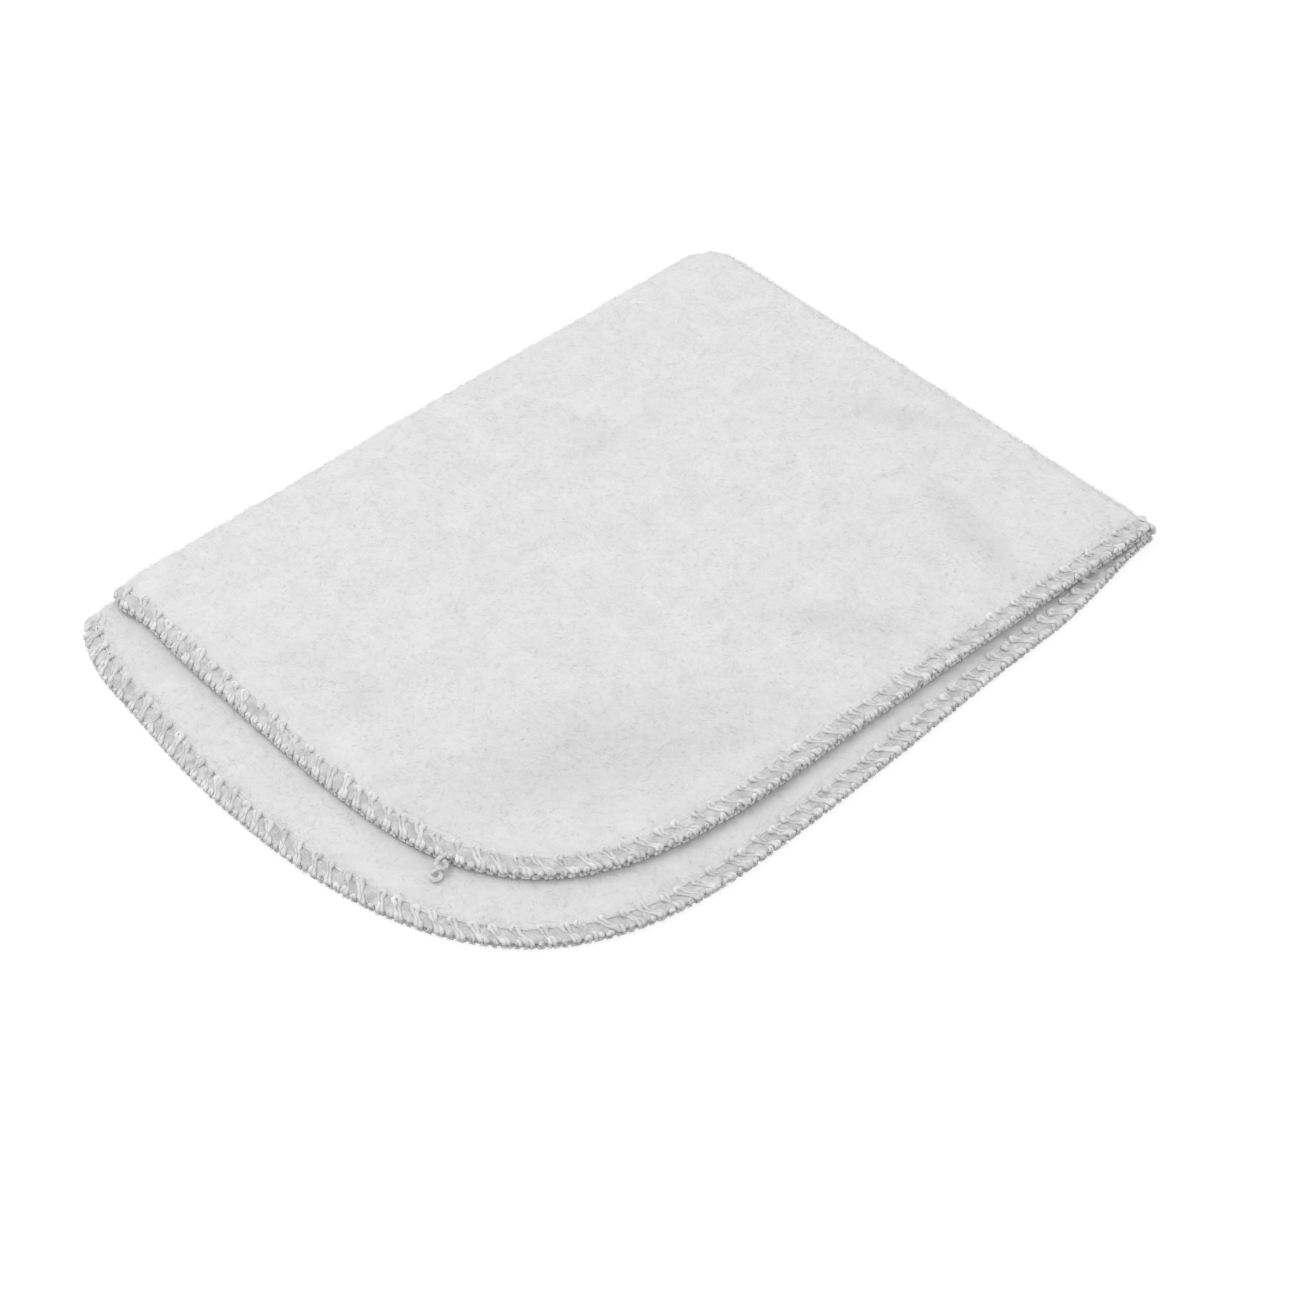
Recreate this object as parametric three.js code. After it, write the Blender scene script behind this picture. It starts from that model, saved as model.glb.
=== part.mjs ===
import * as THREE from "three";

// A flannel cleaning cloth with rounded corners and an overlocked edge. It is folded in half, folded
// in half again across the first fold, and lies flat. Lengths are in millimetres and +Z is up.
//
// The first fold runs along X at y = 0 and the second along Y at x = 0, so the four layers lie where
// x and y are negative. The lower two layers are joined by the first fold, and so are the upper two.
// The second fold opens like a hinge about its own axis, halfway up the stack.

// Cloth
const clothThickness = 1.1;
const layerGap = 0.2;
const foldDepth = 125; // from the first fold to the front edge, where that edge meets the second fold
const cutGap = 0.2; // between a half of the cloth and the strip that turns round the second fold

// Lower two layers, which lie a little askew and show past the upper two
const lowerPair = {
  tipWidth: 167, // from the second fold to the side edge, at the first fold
  fullWidth: 175.7, // the same where the side edge bulges most
  fullWidthDepth: 55.3, // how far that is from the first fold
  frontReach: 114.5, // from the second fold to where the rounded corner ends
  frontDepth: 131.5, // from the first fold to the front edge there
  tipHandleShare: 0.07,
  sideHandleShare: 0.64,
  cornerSideHandleShare: 0.75,
  cornerFrontHandleShare: 0.65,
};

// Upper two layers
const upperPair = {
  tipWidth: 157.8,
  fullWidth: 160.5,
  fullWidthDepth: 57,
  frontReach: 98.4,
  frontDepth: 122.6,
  tipHandleShare: 0.25,
  sideHandleShare: 0.28,
  cornerSideHandleShare: 0.6,
  cornerFrontHandleShare: 0.91,
};
// Both pairs: how straight the front edge leaves the corner and the second fold
const frontHandleShare = 0.45;
const foldHandleShare = 0.12;
const cornerMidShare = 0.4; // of the edge's length, from the first fold to the middle of the corner

// Soft billows that lift the upper two layers
const billowHeight = 0.9;
const billowSpread = 34;
const restWidth = 30; // beside the second fold, where the layers lie pressed together
const billowShares = [
  { width: 0.66, depth: 0.98, spread: 0.7, height: 0.9 },
  { width: 0.28, depth: 0.62, spread: 0.8, height: 1 },
  { width: 0.78, depth: 0.3, spread: 1.2, height: 0.7 },
  { width: 0.5, depth: 0.1, spread: 1, height: 0.5 },
];

// The corner where the two folds meet, which the thick cloth rounds off
const cornerDraw = 2; // how far its tip is drawn in
const cornerSpread = 3.6;

// Overlocked edge: two looper threads wrap the edge, one on each face, and a needle thread holds them
const overlockWidth = 3.4;
const stitchLength = 3.6;
const stitchSlant = 1.3; // how far a looper leans along the edge between the edge and the needle line
const ribDepth = 0.25; // from the crest of a stitch to the valley between two
const crownInset = 1.6; // from the outside of the edge to the crown of the loopers
const needleThreadWidth = 0.6;
const needlePinch = 0.05; // how much lower the needle thread lies between two stitches
const threadClearance = 0.12; // between a thread and the cloth
const looperParting = 0.16; // between the two loopers where they meet at the edge
const edgeInset = 0.7; // from the outside of the loopers to the cut edge of the cloth
const pressWidth = 2.2; // inside the needle line, where the stitches draw the nap down
const pressedThickness = 0.4; // of the cloth at the needle line
const cutThickness = 0.12; // of the cloth at its cut edge

// Tail of the thread chain, left where the stitching ends
const tailLength = 6;
const tailThickness = 0.8;
const tailWaistThickness = 0.4; // at its ends and between its loops
const tailPlaceShare = 0.37; // of the edge's length, from the first fold

// Numbers of steps in the surfaces
const columns = 11;
const cornerStepShares = [0.7, 1.7]; // of the corner's spread: rows and columns close to that corner
const layerRows = 10;
const firstFoldSteps = 6;
const secondFoldSteps = 8;
const columnCrowding = 1.3; // an exponent: above 1 the columns crowd towards the corner
const ringsPerStitch = 2;
const tailSides = 6;
const tailSteps = 10;
const tailLoops = 2;

const faceHeight = clothThickness / 2;
const layerSpacing = clothThickness + layerGap;
const hingeHeight = faceHeight + layerSpacing + layerSpacing / 2;
const innerLayer = layerSpacing / 2; // distance of the two inner layers from the hinge's plane
const outerLayer = innerLayer + layerSpacing;
const firstFoldMiddle = (innerLayer + outerLayer) / 2;
const firstFoldRadius = layerSpacing / 2;

// The outer edge of a pair of layers in plan, from the first fold, round the corner, to the second fold.
function edgeOf(pair) {
  const at = (x, y) => new THREE.Vector2(x, y);
  const { tipWidth, fullWidth, fullWidthDepth, frontReach, frontDepth } = pair;
  const cornerDepth = frontDepth - fullWidthDepth;
  const cornerWidth = fullWidth - frontReach;
  const edge = new THREE.CurvePath();
  edge.add(
    new THREE.CubicBezierCurve(
      at(-tipWidth, 0),
      at(-tipWidth, -fullWidthDepth * pair.tipHandleShare),
      at(-fullWidth, -fullWidthDepth * (1 - pair.sideHandleShare)),
      at(-fullWidth, -fullWidthDepth),
    ),
  );
  edge.add(
    new THREE.CubicBezierCurve(
      at(-fullWidth, -fullWidthDepth),
      at(-fullWidth, -fullWidthDepth - cornerDepth * pair.cornerSideHandleShare),
      at(-frontReach - cornerWidth * pair.cornerFrontHandleShare, -frontDepth),
      at(-frontReach, -frontDepth),
    ),
  );
  edge.add(
    new THREE.CubicBezierCurve(
      at(-frontReach, -frontDepth),
      at(-frontReach * (1 - frontHandleShare), -frontDepth),
      at(-frontReach * foldHandleShare, -foldDepth),
      at(-cutGap, -foldDepth),
    ),
  );
  return edge;
}

// A place on the edge, a share of its length from the first fold, moved inwards by an inset.
function insetPoint(edge, share, inset) {
  const point = edge.getPointAt(share);
  const along = edge.getTangentAt(share);
  return point.add(new THREE.Vector2(-along.y, along.x).multiplyScalar(inset));
}

// How far the upper two layers rise at a place in plan.
function billowAt(x, y) {
  const rest = THREE.MathUtils.smoothstep(-x, 0, restWidth);
  let sum = 0;
  for (const { width, depth, spread, height } of billowShares) {
    const across = x + width * upperPair.fullWidth;
    const down = y + depth * upperPair.frontDepth;
    const reach = spread * billowSpread;
    sum += height * Math.exp(-(across * across + down * down) / (reach * reach));
  }
  return rest * sum * billowHeight;
}
const noBillow = () => 0;

// How far a place in plan is drawn in along each fold, near the corner where the folds meet
function drawAt(x, y) {
  const reach = Math.hypot(x, y) / cornerSpread;
  return (cornerDraw / Math.SQRT2) * Math.exp(-reach * reach);
}

// The two halves of the cloth in fold coordinates: x and y in plan, and the distance from the hinge's
// plane. The lower half hangs below that plane and the upper half stands above it.
const halves = {
  lower: { edge: edgeOf(lowerPair), side: -1, billow: noBillow },
  upper: { edge: edgeOf(upperPair), side: 1, billow: billowAt },
};

function placed(half, x, y, distance) {
  const draw = drawAt(x, y);
  const height = hingeHeight + half.side * (distance + half.billow(x, y));
  return new THREE.Vector3(x - draw, y - draw, height);
}

function direction(half, x, y, distance) {
  return new THREE.Vector3(x, y, half.side * distance);
}

// A closed solid from a surface of nodes. Each node has a point on the middle of the cloth and a rise,
// from there to the face that lies inside the first fold.
function thicken(nodes, faces, flipped) {
  const count = nodes.length;
  const positions = [
    ...nodes.flatMap(({ point, rise }) => point.clone().add(rise).toArray()),
    ...nodes.flatMap(({ point, rise }) => point.clone().sub(rise).toArray()),
  ];
  const triangles = [];
  const sides = new Map();
  for (const face of faces) {
    const [a, b, c] = flipped ? [face[2], face[1], face[0]] : face;
    triangles.push([a, b, c], [c + count, b + count, a + count]);
    for (const [from, to] of [[a, b], [b, c], [c, a]]) {
      sides.set(`${from} ${to}`, [from, to]);
    }
  }
  for (const [from, to] of sides.values()) {
    if (sides.has(`${to} ${from}`)) continue;
    triangles.push([to, from, from + count], [to, from + count, to + count]);
  }
  return solidGeometry(positions, triangles);
}

function solidGeometry(positions, triangles) {
  const geometry = new THREE.BufferGeometry();
  geometry.setAttribute("position", new THREE.Float32BufferAttribute(positions, 3));
  geometry.setIndex(triangles.flat());
  geometry.computeVertexNormals();
  return geometry;
}

// The rows of a half, from the outer layer's front edge, round the first fold, to the inner layer's
// front edge. Each row has its share of the layer's depth, or its angle round the first fold.
const closeTo = (size) => cornerStepShares.map((share) => (share * cornerSpread) / size);
const depthShares = closeTo(foldDepth);
for (let k = 1; k <= layerRows; k++) depthShares.push(k / layerRows);
const rows = [...depthShares].reverse().map((depthShare) => ({ depthShare, angle: 0 }));
for (let k = 0; k <= firstFoldSteps; k++) {
  rows.push({ depthShare: 0, angle: (Math.PI * k) / firstFoldSteps });
}
rows.push(...depthShares.map((depthShare) => ({ depthShare, angle: Math.PI })));

// The columns of a half, as shares of its width from the second fold
const columnShares = [0, ...closeTo(upperPair.fullWidth)];
for (let k = 1; k <= columns; k++) columnShares.push(1 - (1 - k / columns) ** columnCrowding);
const lastColumn = columnShares.length - 1;

// Where a column meets the front edge, as a share of the edge's length
function frontShare(column) {
  return 1 - columnShares[column] * (1 - cornerMidShare);
}

// Where a row lies round the first fold: how far past it, its distance from the hinge's plane, and
// the direction of its inner face.
function roundFirstFold(angle) {
  return {
    past: firstFoldRadius * Math.sin(angle),
    distance: firstFoldMiddle + firstFoldRadius * Math.cos(angle),
    riseY: -Math.sin(angle),
    riseDistance: -Math.cos(angle),
  };
}

// The steps from the full cloth to its cut edge, each with its inset from the outside of the edge
// and the cloth's thickness there.
const napInset = overlockWidth + pressWidth;
const rimSteps = [
  { inset: overlockWidth, thickness: pressedThickness },
  { inset: edgeInset, thickness: cutThickness },
];

// A point of a layer in plan: a blend of its four sides, with columns counted from the second fold
// and depth from the first.
function layerPoint(half, columnShare, depthShare) {
  const { edge } = half;
  const side = insetPoint(edge, depthShare * cornerMidShare, napInset);
  const front = insetPoint(edge, 1 - columnShare * (1 - cornerMidShare), napInset);
  const corner = insetPoint(edge, cornerMidShare, napInset);
  const tip = insetPoint(edge, 0, napInset);
  const foldEnd = insetPoint(edge, 1, napInset);
  const start = new THREE.Vector2(foldEnd.x, tip.y);
  const onFirstFold = start.clone().lerp(tip, columnShare);
  const onSecondFold = start.clone().lerp(foldEnd, depthShare);
  const between = onFirstFold.clone().lerp(front, depthShare);
  const across = onSecondFold.clone().lerp(side, columnShare);
  const corners = start
    .lerp(tip, columnShare)
    .lerp(foldEnd.lerp(corner, columnShare), depthShare);
  return between.add(across).sub(corners);
}

function flannelHalf(half) {
  const { edge } = half;
  const nodes = [];
  const faces = [];
  const nodeAt = (row, column) => row * columnShares.length + column;
  const addNode = (plan, row, thickness) => {
    const turn = roundFirstFold(row.angle);
    const rise = direction(half, 0, turn.riseY, turn.riseDistance);
    nodes.push({
      point: placed(half, plan.x, plan.y + turn.past, turn.distance),
      rise: rise.multiplyScalar(thickness / 2),
    });
    return nodes.length - 1;
  };
  const addQuad = (a, b, c, d) => faces.push([a, b, c], [a, c, d]);

  for (const row of rows) {
    for (const columnShare of columnShares) {
      addNode(layerPoint(half, columnShare, row.depthShare), row, clothThickness);
    }
  }
  const lastRow = rows.length - 1;
  for (let row = 0; row < lastRow; row++) {
    for (let column = 0; column < lastColumn; column++) {
      const near = nodeAt(row, column);
      const beside = nodeAt(row, column + 1);
      const far = nodeAt(row + 1, column + 1);
      const behind = nodeAt(row + 1, column);
      // The diagonal starts from the rounded corner, where two sides of a cell lie nearly in line.
      const quad = row < lastRow / 2 ? [beside, far, behind, near] : [near, beside, far, behind];
      addQuad(...quad);
    }
  }

  // The chain of nodes along the edge, and the rim of thinner cloth outside it
  const chain = [];
  for (let column = 0; column <= lastColumn; column++) {
    chain.push({ node: nodeAt(0, column), row: rows[0], share: frontShare(column) });
  }
  for (let row = 1; row <= lastRow; row++) {
    const share = rows[row].depthShare * cornerMidShare;
    chain.push({ node: nodeAt(row, lastColumn), row: rows[row], share });
  }
  for (let column = lastColumn - 1; column >= 0; column--) {
    const node = nodeAt(lastRow, column);
    chain.push({ node, row: rows[lastRow], share: frontShare(column) });
  }
  let inner = chain.map(({ node }) => node);
  for (const { inset, thickness } of rimSteps) {
    const outer = chain.map(({ row, share }) =>
      addNode(insetPoint(edge, share, inset), row, thickness),
    );
    for (let k = 0; k + 1 < chain.length; k++) {
      addQuad(inner[k], outer[k], outer[k + 1], inner[k + 1]);
    }
    inner = outer;
  }
  return thicken(nodes, faces, half.side < 0);
}

const hingeCentre = new THREE.Vector3(0, 0, hingeHeight);

// From the lower half (-90 degrees) round to the upper half (+90 degrees).
function secondFoldAngle(share) {
  return (share - 1 / 2) * Math.PI;
}

function aroundHinge(distance, y, angle) {
  return new THREE.Vector3(distance * Math.cos(angle), y, distance * Math.sin(angle));
}

// The strip of both layers that turns round the second fold, joined by the end of the first fold.
function flannelTurn() {
  const stations = [];
  for (const { inset, thickness } of [...rimSteps].reverse()) {
    stations.push({ y: inset - foldDepth, thickness, angle: 0 });
  }
  for (const { depthShare, angle } of rows) {
    stations.push({ y: (napInset - foldDepth) * depthShare, thickness: clothThickness, angle });
  }
  for (const { inset, thickness } of rimSteps) {
    stations.push({ y: inset - foldDepth, thickness, angle: Math.PI });
  }
  const nodes = [];
  const faces = [];
  for (const { y, thickness, angle } of stations) {
    const fold = roundFirstFold(angle);
    const draw = drawAt(0, y + fold.past);
    const drawn = new THREE.Vector3(-draw, -draw, 0).add(hingeCentre);
    for (let step = 0; step <= secondFoldSteps; step++) {
      const turn = secondFoldAngle(step / secondFoldSteps);
      const rise = aroundHinge(fold.riseDistance, fold.riseY, turn);
      nodes.push({
        point: aroundHinge(fold.distance, y + fold.past, turn).add(drawn),
        rise: rise.multiplyScalar(thickness / 2),
      });
    }
  }
  const perStation = secondFoldSteps + 1;
  for (let station = 0; station + 1 < stations.length; station++) {
    for (let step = 0; step < secondFoldSteps; step++) {
      const near = station * perStation + step;
      const far = near + perStation;
      faces.push([near, near + 1, far + 1], [near, far + 1, far]);
    }
  }
  return thicken(nodes, faces, false);
}

// The overlocked edge runs in stretches. Each has its length, its counts of stitches and of rings, how
// freely its stitches lean, and a frame at each share of its length: a point on the outside of the
// edge at the middle of the cloth, the direction into the cloth, and the direction out of the face
// that lies outside the first fold.
function layerStretch(half, distance, faceSign, fromFirstFold) {
  const length = half.edge.getLength();
  const stitches = Math.round(length / stitchLength);
  return {
    length,
    stitches,
    rings: stitches * ringsPerStitch,
    leanShare: 1,
    frameAt(share) {
      const place = THREE.MathUtils.clamp(fromFirstFold ? share : 1 - share, 0, 1);
      const plan = half.edge.getPointAt(place);
      const along = half.edge.getTangentAt(place);
      return {
        point: placed(half, plan.x, plan.y, distance),
        inward: new THREE.Vector3(-along.y, along.x, 0),
        face: direction(half, 0, 0, faceSign),
      };
    },
  };
}

function firstFoldStretch(half) {
  const tip = half.edge.getPointAt(0);
  return {
    length: Math.PI * firstFoldRadius,
    stitches: 1,
    rings: firstFoldSteps,
    leanShare: 0,
    frameAt(share) {
      const turn = roundFirstFold(share * Math.PI);
      return {
        point: placed(half, tip.x, turn.past, turn.distance),
        inward: new THREE.Vector3(1, 0, 0),
        face: direction(half, 0, -turn.riseY, -turn.riseDistance),
      };
    },
  };
}

// Out along the outer layer, round the first fold and back along the inner layer
function halfRoute(half) {
  const stretches = [
    layerStretch(half, outerLayer, 1, false),
    firstFoldStretch(half),
    layerStretch(half, innerLayer, -1, true),
  ];
  return { stretches, flipped: half.side > 0 };
}

// Round the second fold, along the outer or the inner layer
function turnRoute(distance, faceSign) {
  const length = Math.PI * distance;
  const frameAt = (share) => {
    const angle = secondFoldAngle(share);
    return {
      point: aroundHinge(distance, -foldDepth, angle).add(hingeCentre),
      inward: new THREE.Vector3(0, 1, 0),
      face: aroundHinge(faceSign, 0, angle),
    };
  };
  const stitches = Math.max(1, Math.round(length / stitchLength));
  const stretches = [{ length, stitches, rings: secondFoldSteps, leanShare: 0, frameAt }];
  return { stretches, flipped: faceSign > 0 };
}

// A closed tube through rings of points, with a flat cap at each end
function tubeThrough(rings, flipped) {
  const corners = rings[0].length;
  const last = (rings.length - 1) * corners;
  const triangles = [];
  for (let start = 0; start < last; start += corners) {
    for (let corner = 0; corner < corners; corner++) {
      const a = start + corner;
      const b = start + ((corner + 1) % corners);
      triangles.push([a, b, b + corners], [a, b + corners, a + corners]);
    }
  }
  for (let corner = 1; corner + 1 < corners; corner++) {
    triangles.push([0, corner + 1, corner], [last, last + corner, last + corner + 1]);
  }
  if (flipped) triangles.forEach((triangle) => triangle.reverse());
  const positions = rings.flat().flatMap((point) => point.toArray());
  return solidGeometry(positions, triangles);
}

// A thread's section swept along a route, with its corners given for each ring as an inset, a height
// above the middle of the cloth, and a lean along the route
function sweep(route, sectionAt, reversed) {
  const rings = [];
  for (const [order, stretch] of route.stretches.entries()) {
    for (let ring = order === 0 ? 0 : 1; ring <= stretch.rings; ring++) {
      const share = ring / stretch.rings;
      const room = Math.min(share, 1 - share);
      const section = sectionAt(share * stretch.stitches).map(({ inset, height, lean }) => {
        const leant = (stretch.leanShare * lean) / stretch.length;
        const frame = stretch.frameAt(share + THREE.MathUtils.clamp(leant, -room, room));
        const inwards = frame.inward.multiplyScalar(inset);
        return frame.point.add(inwards).add(frame.face.multiplyScalar(height));
      });
      rings.push(section);
    }
  }
  return tubeThrough(rings, route.flipped !== reversed);
}

// How full a stitch is at a place along the route counted in stitches: 1 at its crest, 0 in a valley.
function fullness(stitch) {
  return (1 - Math.cos(2 * Math.PI * stitch)) / 2;
}

// The lowest that a thread may lie on the pressed nap, at an inset from the outside of the edge
function threadBed(inset) {
  const slope = (faceHeight - pressedThickness / 2) / pressWidth;
  return pressedThickness / 2 + threadClearance + slope * (inset - overlockWidth);
}

// A looper's section: its lip at the needle line, its crown, and the edge where it meets the other.
function looperSection(face) {
  return (stitch) => {
    const valley = ribDepth * (1 - fullness(stitch));
    return [
      { inset: overlockWidth, height: face * threadBed(overlockWidth), lean: face * stitchSlant },
      { inset: crownInset, height: face * (faceHeight - valley), lean: (face * stitchSlant) / 2 },
      { inset: valley, height: (face * looperParting) / 2, lean: 0 },
    ];
  };
}

// The needle thread lies in the groove that it draws into the nap, just inside the loopers.
function needleSection(stitch) {
  const near = overlockWidth + threadClearance;
  const far = near + needleThreadWidth;
  const middle = (near + far) / 2;
  const pinched = needlePinch * (1 - fullness(stitch));
  return [
    { inset: near, height: threadBed(near), lean: 0 },
    { inset: middle, height: faceHeight - pinched, lean: 0 },
    { inset: far, height: threadBed(far), lean: 0 },
  ];
}

// The tail of the thread chain leaves the top layer's edge and droops on to the lower two layers.
function threadTail() {
  const { upper } = halves;
  const start = insetPoint(upper.edge, tailPlaceShare, -threadClearance - tailThickness / 2);
  const end = insetPoint(upper.edge, tailPlaceShare, -tailLength);
  const startPoint = placed(upper, start.x, start.y, outerLayer);
  const endHeight = hingeHeight + layerGap / 2 + tailWaistThickness / 2;
  const endPoint = new THREE.Vector3(end.x, end.y, endHeight);
  const bend = startPoint.clone().lerp(endPoint, 1 / 2).setZ(startPoint.z);
  const route = new THREE.QuadraticBezierCurve3(startPoint, bend, endPoint);
  const rings = [];
  for (let step = 0; step <= tailSteps; step++) {
    const share = step / tailSteps;
    const along = route.getTangent(share);
    const across = new THREE.Vector3(-along.y, along.x, 0).normalize();
    const upward = along.clone().cross(across);
    const thickness = THREE.MathUtils.lerp(
      tailWaistThickness,
      tailThickness,
      fullness(share * tailLoops),
    );
    const ring = [];
    for (let side = 0; side < tailSides; side++) {
      const angle = (2 * Math.PI * side) / tailSides;
      const point = route.getPoint(share);
      point.addScaledVector(across, (thickness / 2) * Math.cos(angle));
      point.addScaledVector(upward, (thickness / 2) * Math.sin(angle));
      ring.push(point);
    }
    rings.push(ring);
  }
  return tubeThrough(rings, false);
}

function material(color, roughness) {
  return new THREE.MeshStandardMaterial({ color, roughness, metalness: 0 });
}
const flannelColour = "#e4e4e2";
const threadColour = "#ecece9";
const flannelRoughness = 0.95;
const threadRoughness = 0.6;

const cloth = new THREE.Group();

function addMesh(name, geometry, color, roughness) {
  const mesh = new THREE.Mesh(geometry, material(color, roughness));
  mesh.name = name;
  cloth.add(mesh);
}

addMesh("flannel_lower_half", flannelHalf(halves.lower), flannelColour, flannelRoughness);
addMesh("flannel_second_fold", flannelTurn(), flannelColour, flannelRoughness);
addMesh("flannel_upper_half", flannelHalf(halves.upper), flannelColour, flannelRoughness);

const routes = {
  lower_half: halfRoute(halves.lower),
  outer_turn: turnRoute(outerLayer, 1),
  inner_turn: turnRoute(innerLayer, -1),
  upper_half: halfRoute(halves.upper),
};
const threads = {
  upper_looper: { section: looperSection(1), reversed: false },
  lower_looper: { section: looperSection(-1), reversed: true },
  needle_thread: { section: needleSection, reversed: true },
};
for (const [thread, { section, reversed }] of Object.entries(threads)) {
  for (const [place, route] of Object.entries(routes)) {
    addMesh(`${thread}_${place}`, sweep(route, section, reversed), threadColour, threadRoughness);
  }
}
addMesh("thread_tail", threadTail(), threadColour, threadRoughness);

// The origin is the middle of the cloth's footprint, on the table.
const box = new THREE.Box3().setFromObject(cloth);
const middle = box.getCenter(new THREE.Vector3());
cloth.position.set(-middle.x, -middle.y, -box.min.z);

export default cloth;
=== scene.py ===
import math

import bpy
import numpy as np
from mathutils import Matrix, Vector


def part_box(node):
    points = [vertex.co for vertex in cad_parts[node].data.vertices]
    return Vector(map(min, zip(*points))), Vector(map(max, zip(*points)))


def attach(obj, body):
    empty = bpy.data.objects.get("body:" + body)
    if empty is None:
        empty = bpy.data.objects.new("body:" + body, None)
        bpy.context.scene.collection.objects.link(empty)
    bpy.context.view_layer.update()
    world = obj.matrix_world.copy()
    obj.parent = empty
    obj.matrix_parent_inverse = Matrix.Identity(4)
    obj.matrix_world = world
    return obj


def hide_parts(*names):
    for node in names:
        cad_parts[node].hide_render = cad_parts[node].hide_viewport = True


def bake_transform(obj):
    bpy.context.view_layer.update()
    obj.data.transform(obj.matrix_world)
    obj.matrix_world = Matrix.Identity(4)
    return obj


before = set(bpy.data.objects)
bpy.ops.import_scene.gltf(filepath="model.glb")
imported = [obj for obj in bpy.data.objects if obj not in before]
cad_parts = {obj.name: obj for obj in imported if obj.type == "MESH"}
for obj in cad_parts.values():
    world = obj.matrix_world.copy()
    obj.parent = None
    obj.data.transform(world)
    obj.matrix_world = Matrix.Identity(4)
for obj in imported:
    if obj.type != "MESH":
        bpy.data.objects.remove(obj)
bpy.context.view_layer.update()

# Lengths are in millimetres in fold coordinates, as in the solids: the first fold runs along X at y = 0,
# the second along Y at x = 0, and the cloth lies where x and y are negative. to_row() gives metres in
# the frame's own axes. A side of the hinge is -1 for the lower half and 1 for the upper half.
MM = 0.001

# Cloth
cloth_thickness = 1.1
layer_gap = 0.2
fold_depth = 125.0
side_gap = 0.2
lower_pair = {
    "tip_width": 167.0, "full_width": 175.7, "full_width_depth": 55.3,
    "front_reach": 114.5, "front_depth": 131.5,
    "tip_handle_share": 0.07, "side_handle_share": 0.64,
    "corner_side_handle_share": 0.75, "corner_front_handle_share": 0.65,
}
upper_pair = {
    "tip_width": 157.8, "full_width": 160.5, "full_width_depth": 57.0,
    "front_reach": 98.4, "front_depth": 122.6,
    "tip_handle_share": 0.25, "side_handle_share": 0.28,
    "corner_side_handle_share": 0.6, "corner_front_handle_share": 0.91,
}
front_handle_share = 0.5
fold_handle_share = 0.05
corner_mid_share = 0.4

# Where the edge swells out beside a fold, by side of the hinge: how far, how far from the fold, and its
# spread
side_swells = {-1: [(1.6, 11.0, 11.0)], 1: [(1.2, 20.0, 20.0), (2.2, 0.0, 7.0)]}
front_swells = {-1: [(1.2, 27.0, 16.0)], 1: []}

# The thick cloth rounds off the corner where the two folds meet, and the tips of the first fold
corner_radius = 6.6
tip_radius = 4.0

# Soft billows that lift the upper two layers: shares of their width and depth, spread and height
billow_height = 0.9
billow_spread = 34.0
rest_width = 30.0
billow_shares = [(0.66, 0.98, 0.7, 0.3), (0.28, 0.62, 0.8, 1.0), (0.78, 0.3, 1.2, 0.7), (0.5, 0.1, 1.0, 0.5)]

# How far the top layer of each pair sinks towards its edge, and over what width, by side of the hinge
droops = {-1: (0.36, 14.0), 1: (0.32, 9.0)}

# Soft dents in the top layer: place, how far each spreads along and across, its direction in degrees,
# its depth, and how much painted shade darkens its colour, from 0 to 1
dents = [
    (-63.2, -103.7, 14.0, 4.2, -58.0, 0.50, 0.7),
    (-26.2, -101.7, 16.0, 4.2, -104.0, 0.55, 1.0),
    (-12.2, -67.7, 14.0, 4.0, -61.0, 0.50, 0.9),
    (-117.8, -96.4, 32.0, 12.0, -24.0, 0.50, 1.0),
    (-63.0, -32.4, 6.0, 5.0, 0.0, 0.20, 0.5),
    (-142.4, -48.9, 14.0, 6.0, -77.0, 0.25, 0.4),
]
dent_shade_reach = 1.7          # how far the painted shade in the dents reaches, in spreads
dent_shade_top = 5.4            # the height of the face that it is on
dent_shade_rise = 4.0           # how far above and below that it ends
dent_shade_grey = 0.9         # the painted shade's tone, as a share of the rest

# Overlocked edge
overlock_width = 3.4
base_pitch = 3.55          # from stitch to stitch on a straight edge
pitch_growth = 6.5         # how much the stitches spread on a curved edge, per unit of its curvature
nap_inset = 5.0            # where the grid of a layer ends and its rim begins
draw_width = 5.0           # inside the needle line, where the stitches draw the cloth down
draw_power = 0.6           # under 1, so most of that is close to the needle line
pressed_thickness = 0.42   # of the cloth at the needle line
seam_thickness = 0.66      # between the needle line and the edge, where the cloth swells a little
swell_end = 2.5            # how far from the edge it stops swelling
cut_thickness = 0.26
cut_inset = 0.5
roll_width = 1.3           # over which the threads round the cut edge
roll_length = 1.6          # how much thread lies on that rounding

# Mesh steps
cloth_step = 1.45
fold_steps = 10
turn_steps = 16
rim_insets = [4.4, 3.9, 3.4, 2.9, 2.3, 1.7, 1.2, 0.8, cut_inset]
curve_points = 300         # on each of an edge's three curves
edge_stride = 3            # from one in so many of them the distance to the edge is measured

layer_spacing = cloth_thickness + layer_gap
hinge_height = cloth_thickness / 2 + layer_spacing * 1.5
inner_layer = layer_spacing / 2
outer_layer = inner_layer + layer_spacing
fold_middle = (inner_layer + outer_layer) / 2
fold_radius = layer_spacing / 2
split_height = 0.09        # above and below the hinge's plane: where the cloth bends as it opens

# The origin of the fold coordinates in the frame: the halves reach x = -side_gap, and the first fold
# stands past y = 0 by its radius and half the cloth
half_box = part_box("flannel_upper_half")
row_offset = np.array([
    half_box[1][0] / MM + side_gap,
    half_box[1][1] / MM - fold_radius - cloth_thickness / 2,
    0.0,
])
rng = np.random.default_rng(11)


def to_row(points):
    return (np.asarray(points) + row_offset) * MM


def unit(vectors):
    return vectors / np.linalg.norm(vectors, axis=-1, keepdims=True)


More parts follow.
